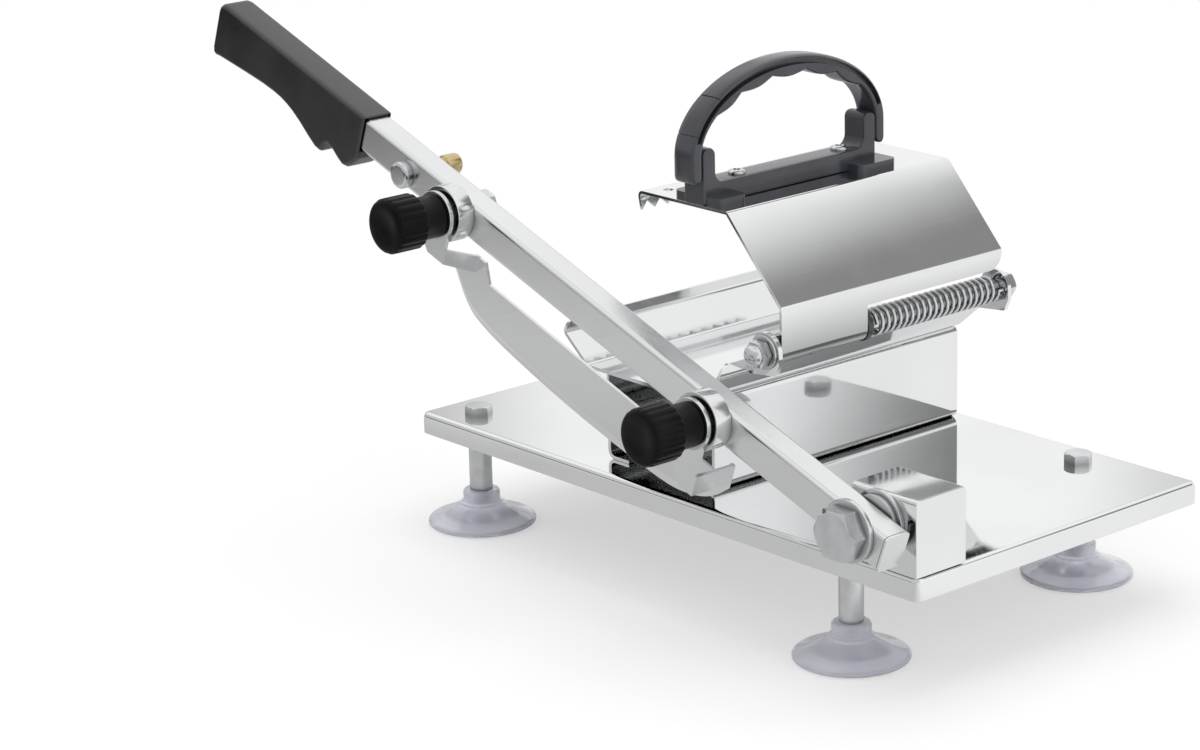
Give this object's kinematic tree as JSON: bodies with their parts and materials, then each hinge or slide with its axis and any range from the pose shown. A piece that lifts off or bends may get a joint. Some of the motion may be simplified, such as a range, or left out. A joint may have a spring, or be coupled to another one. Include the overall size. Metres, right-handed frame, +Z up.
{
  "type": "hand crank meat slicer",
  "caption": "Bench slicer with a hinged tube arm carrying a clamped blade, a flared tray on a folded stand, a sprung press cover with a D handle, and suction feet.",
  "frame": {"origin": "on the floor under the middle of the whole slicer at rest", "axes": "+X along the base to the pivot end, +Y from the blade side to the back, +Z up"},
  "size_m": [0.4174, 0.2256, 0.2175],
  "materials": {
    "polished_steel": "mirror polished stainless sheet",
    "bolt_steel": "plated fasteners",
    "dark_steel": "dark oxide",
    "blade_steel": "ground blade sheet",
    "satin_steel": "satin stainless tube",
    "black_plastic": "satin moulded",
    "handle_plastic": "glossy moulded",
    "brass": "turned",
    "clear_vinyl": "clear tinted vinyl"
  },
  "bodies": {
    "base": {"base_plate": "polished_steel", "leg_bolt_front_right": "bolt_steel", "leg_bolt_back_right": "bolt_steel", "leg_bolt_front_left": "bolt_steel", "leg_bolt_back_left": "bolt_steel", "leg_spacer_front_right": "bolt_steel", "leg_spacer_back_right": "bolt_steel", "leg_spacer_front_left": "bolt_steel", "leg_spacer_back_left": "bolt_steel", "suction_cup_front_right": "clear_vinyl", "suction_cup_back_right": "clear_vinyl", "suction_cup_front_left": "clear_vinyl", "suction_cup_back_left": "clear_vinyl", "stand": "polished_steel", "tray": "polished_steel", "pivot_bracket": "polished_steel", "pivot_bolt": "bolt_steel", "pivot_front_washer": "bolt_steel", "pivot_spring_washer": "bolt_steel", "pivot_back_washer": "bolt_steel", "pivot_nut": "bolt_steel", "guide_rod": "bolt_steel", "rod_front_washer": "bolt_steel", "rod_front_nut": "bolt_steel", "rod_dome_nut": "bolt_steel", "rod_rear_washer": "dark_steel", "rod_rear_nut": "bolt_steel", "feed_spring": "bolt_steel"},
    "arm": {"arm_tube": "satin_steel", "arm_end_cap": "satin_steel", "arm_grip": "black_plastic", "stop_bolt": "bolt_steel", "brass_stop": "brass", "blade": "blade_steel", "lower_boss": "satin_steel", "lower_stud": "bolt_steel", "lower_stud_nut": "bolt_steel", "upper_boss": "satin_steel", "upper_stud": "bolt_steel", "upper_stud_nut": "bolt_steel"},
    "lower_clamp": {"lower_knob_washer": "bolt_steel"},
    "lower_knob": {"lower_knob": "black_plastic"},
    "upper_clamp": {"upper_knob_washer": "bolt_steel"},
    "upper_knob": {"upper_knob": "black_plastic"},
    "carriage": {"rod_bush": "dark_steel"},
    "cover": {"press_cover": "polished_steel", "handle_base": "handle_plastic", "handle_grip": "handle_plastic", "handle_screw_front": "bolt_steel", "handle_screw_back": "bolt_steel", "handle_nut_front": "bolt_steel", "handle_nut_back": "bolt_steel"}
  },
  "joints": [
    {"name": "arm_pivot", "type": "hinge", "parent": "base", "child": "arm", "pos_m": [0.18931, -0.069, 0.0683], "axis": [0, 1, 0], "range_deg": [-22.2, 60]},
    {"name": "lower_knob_feed", "type": "slide", "parent": "arm", "child": "lower_clamp", "axis": [0, -1, 0], "range_m": [0, 0.005]},
    {"name": "lower_knob_turn", "type": "hinge", "parent": "lower_clamp", "child": "lower_knob", "pos_m": [0.11358, -0.09975, 0.09561], "axis": [0, -1, 0], "range_deg": [0, 1445]},
    {"name": "upper_knob_feed", "type": "slide", "parent": "arm", "child": "upper_clamp", "axis": [0, -1, 0], "range_m": [0, 0.005]},
    {"name": "upper_knob_turn", "type": "hinge", "parent": "upper_clamp", "child": "upper_knob", "pos_m": [-0.04022, -0.09975, 0.15107], "axis": [0, -1, 0], "range_deg": [0, 1445]},
    {"name": "cover_slide", "type": "slide", "parent": "base", "child": "carriage", "axis": [0, 1, 0], "range_m": [0, 0.038], "stiffness_N_per_m": 500, "springref_m": -0.01, "deforming": ["feed_spring"]},
    {"name": "cover_hinge", "type": "hinge", "parent": "carriage", "child": "cover", "pos_m": [0.10431, 0.02325, 0.112], "axis": [0, 1, 0], "range_deg": [-42, 100]}
  ],
  "couplings": [
    {"joint": "lower_knob_turn", "follows": "lower_knob_feed", "rad_per_m": 5026.5},
    {"joint": "upper_knob_turn", "follows": "upper_knob_feed", "rad_per_m": 5026.5}
  ]
}
